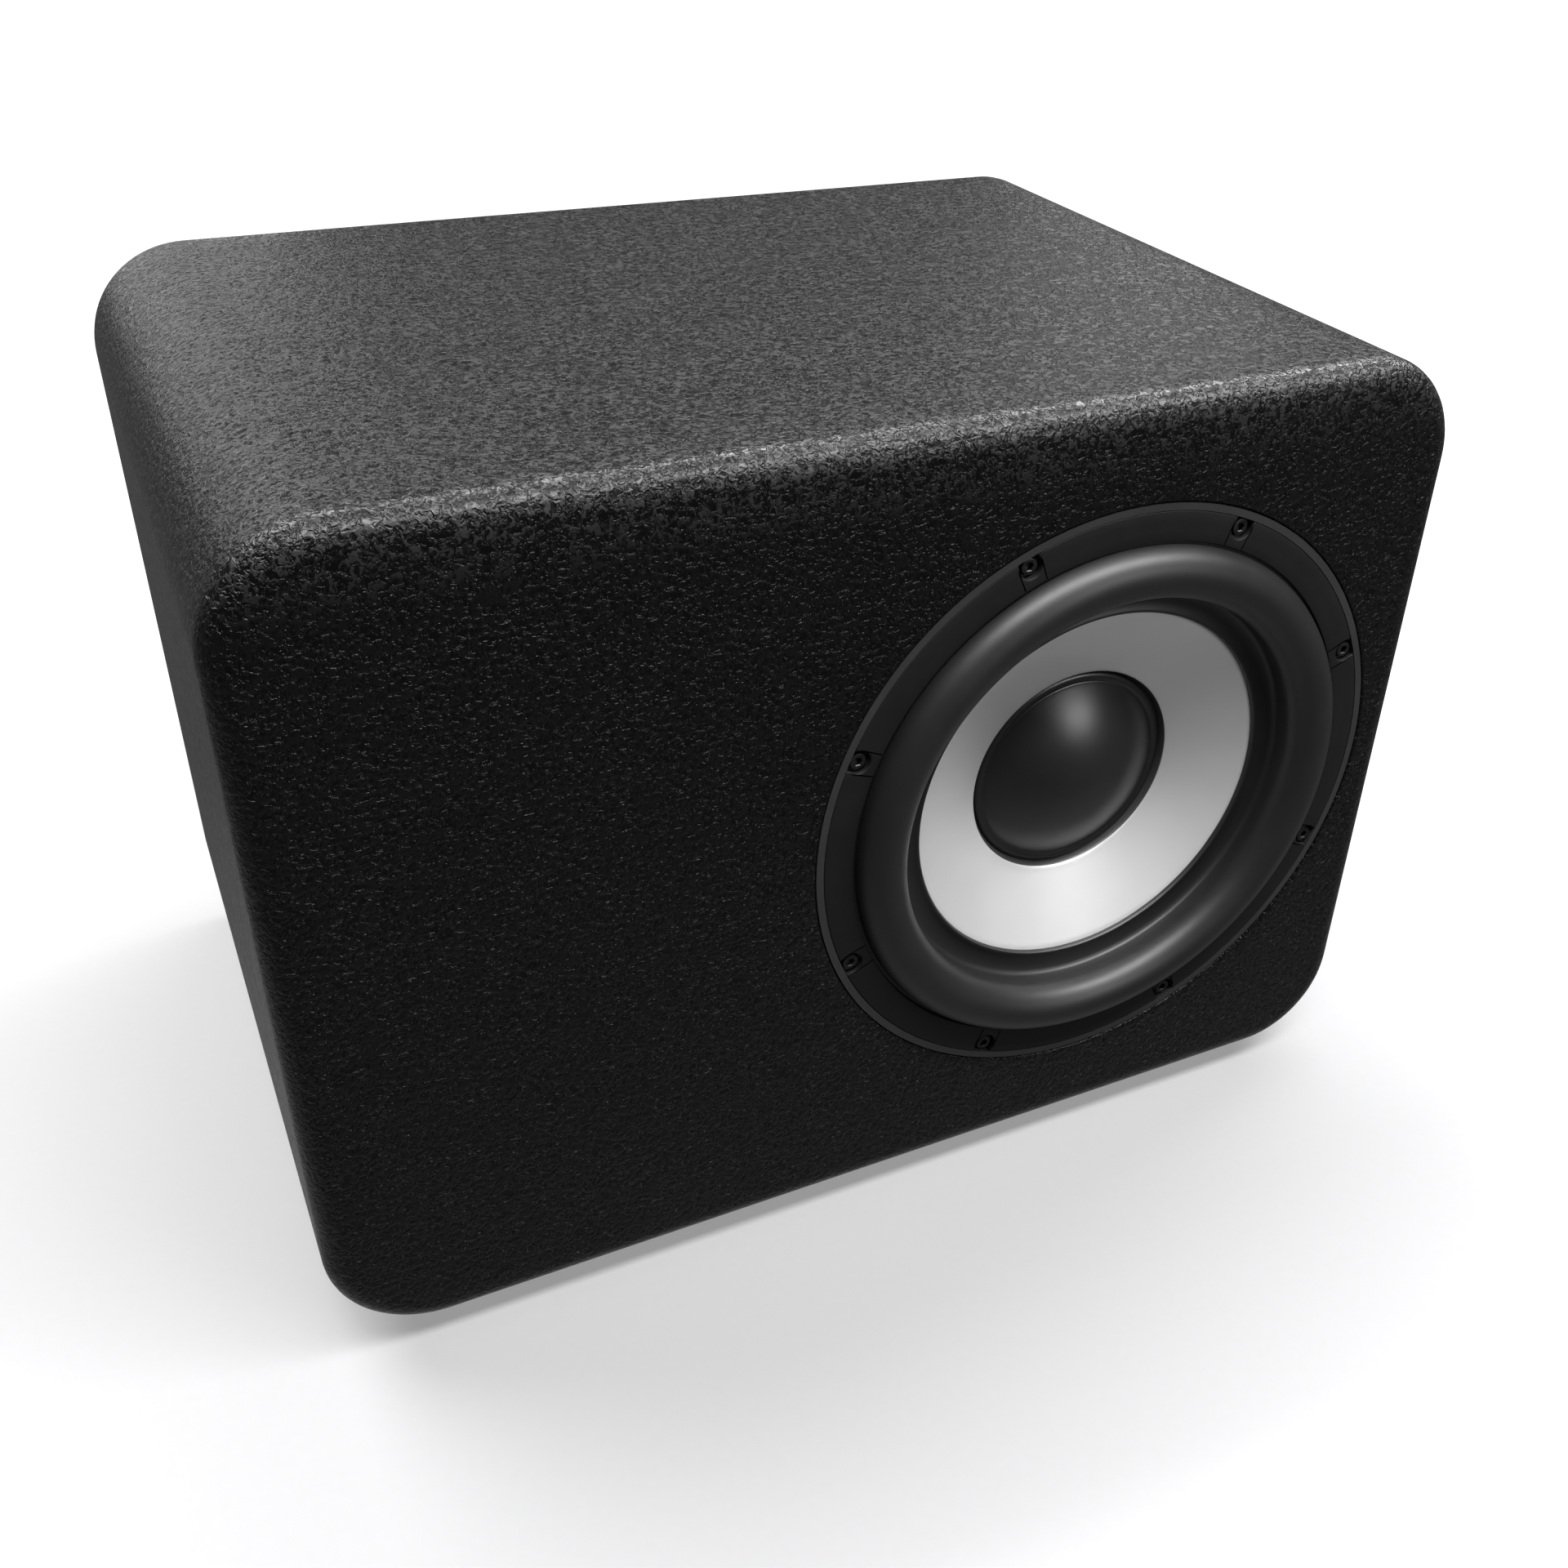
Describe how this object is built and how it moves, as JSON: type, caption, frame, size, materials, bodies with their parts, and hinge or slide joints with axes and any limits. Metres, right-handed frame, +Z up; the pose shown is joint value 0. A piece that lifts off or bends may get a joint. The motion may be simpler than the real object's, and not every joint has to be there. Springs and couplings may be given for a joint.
{
  "type": "subwoofer",
  "caption": "Powered subwoofer: sealed box cabinet with rounded corners and coarse sprayed coating, one long-throw driver off-centre in front, plate amplifier in the rear.",
  "frame": {"origin": "on the floor under the feet, at the middle of the object's box", "axes": "+X to the right seen from the front, along the cabinet's width; +Y from the driver's side to the amplifier's side; +Z up"},
  "size_m": [0.478, 0.3506, 0.352],
  "materials": {
    "sprayed_coating": "coarse sprayed polyurea, satin black",
    "mdf": "bare fibre board",
    "glue_block_pine": "planed pine",
    "birch_plywood": "sanded plywood",
    "polyester_wadding": "loose fibre pad",
    "foot_rubber": "moulded, matt",
    "zinc_plated_steel": "bright zinc",
    "cast_aluminium_black": "fine black powder coat",
    "foam_seal": "closed-cell foam",
    "gasket_rubber": "moulded, matt with fine grain",
    "black_oxide_steel": "black oxide",
    "brass": "turned",
    "surround_rubber": "moulded butyl rubber, satin",
    "anodised_cone": "satin silver anodised",
    "cap_rubber": "satin black",
    "former_polyimide": "translucent amber film",
    "copper_winding": "enamelled copper wire",
    "spider_cloth": "resin-treated cotton",
    "zinc_steel_motor": "zinc plated",
    "ferrite": "sintered ferrite",
    "pure_aluminium": "turned",
    "phenolic_brown": "phenolic board",
    "tinsel_braid": "braided tinsel",
    "wire_red_black": "PVC insulation",
    "anodised_plate": "black brushed and anodised",
    "heatsink_black": "extruded, black anodised",
    "circuit_board": "green solder mask",
    "capacitor_sleeve": "shrink sleeve",
    "transformer_wrap": "polyester tape",
    "pot_steel": "nickel plated",
    "knob_plastic": "moulded, fine matt",
    "switch_plastic": "moulded black",
    "jack_gold": "gold flashed",
    "jack_red": "moulded",
    "rocker_plastic": "moulded black",
    "inlet_plastic": "moulded nylon",
    "tinned_brass": "nickel-plated brass",
    "fuse_glass": "clear tube",
    "led_green": "diffused green",
    "wire_blue": "PVC insulation"
  },
  "bodies": {
    "cabinet": {"coating": "sprayed_coating", "baffle": "mdf", "rear_panel": "mdf", "top_panel": "mdf", "bottom_panel": "mdf", "left_panel": "mdf", "right_panel": "mdf", "corner_blocks": "glue_block_pine", "window_brace": "birch_plywood", "damping_pads": "polyester_wadding", "feet": "foot_rubber", "foot_screws": "zinc_plated_steel", "basket": "cast_aluminium_black", "flange_seal": "foam_seal", "trim_gasket": "gasket_rubber", "driver_screws": "black_oxide_steel", "threaded_inserts": "brass", "surround": "surround_rubber", "spider": "spider_cloth", "top_plate": "zinc_steel_motor", "magnet": "ferrite", "pole_yoke": "zinc_steel_motor", "shorting_ring": "pure_aluminium", "magnet_boot": "foot_rubber", "terminal_block": "phenolic_brown", "tinsel_leads": "tinsel_braid", "speaker_wires": "wire_red_black", "amp_plate": "anodised_plate", "amp_seal": "foam_seal", "amp_screws": "black_oxide_steel", "heatsink": "heatsink_black", "amp_board": "circuit_board", "board_standoffs": "brass", "filter_capacitors": "capacitor_sleeve", "transformer": "transformer_wrap", "transformer_bolt": "zinc_plated_steel", "volume_pot": "pot_steel", "crossover_pot": "pot_steel", "phase_switch": "switch_plastic", "mode_switch": "switch_plastic", "line_jacks": "jack_gold", "jack_insulators": "jack_red", "rocker_frame": "rocker_plastic", "mains_inlet": "inlet_plastic", "inlet_pins": "tinned_brass", "status_led": "led_green", "amp_wiring": "wire_blue"},
    "cone_assembly": {"cone": "anodised_cone", "dust_cap": "cap_rubber", "coil_former": "former_polyimide", "voice_coil": "copper_winding"},
    "volume_control": {"volume_shaft": "pot_steel", "volume_knob": "knob_plastic"},
    "crossover_control": {"crossover_shaft": "pot_steel", "crossover_knob": "knob_plastic"},
    "phase_lever": {"phase_slider": "switch_plastic"},
    "mode_lever": {"mode_slider": "switch_plastic"},
    "power_paddle": {"power_rocker": "rocker_plastic"},
    "fuse_carrier": {"fuse_drawer": "inlet_plastic", "fuse": "fuse_glass"}
  },
  "joints": [
    {"name": "cone_travel", "type": "slide", "parent": "cabinet", "child": "cone_assembly", "axis": [0, -1, 0], "range_m": [-0.01, 0.01], "stiffness_N_per_m": 3000, "deforming": ["surround", "spider", "tinsel_leads"]},
    {"name": "volume_turn", "type": "hinge", "parent": "cabinet", "child": "volume_control", "pos_m": [0.04, 0.15935, 0.243], "axis": [0, 1, 0], "range_deg": [-150, 150]},
    {"name": "crossover_turn", "type": "hinge", "parent": "cabinet", "child": "crossover_control", "pos_m": [0.092, 0.15935, 0.243], "axis": [0, 1, 0], "range_deg": [-150, 150]},
    {"name": "phase_slide", "type": "slide", "parent": "cabinet", "child": "phase_lever", "axis": [1, 0, 0], "range_m": [0, 0.004]},
    {"name": "mode_slide", "type": "slide", "parent": "cabinet", "child": "mode_lever", "axis": [1, 0, 0], "range_m": [-0.0035, 0.0035]},
    {"name": "power_rock", "type": "hinge", "parent": "cabinet", "child": "power_paddle", "pos_m": [0.034, 0.15935, 0.119], "axis": [1, 0, 0], "range_deg": [-20, 0]},
    {"name": "fuse_slide", "type": "slide", "parent": "cabinet", "child": "fuse_carrier", "axis": [0, 1, 0], "range_m": [0, 0.02]}
  ]
}
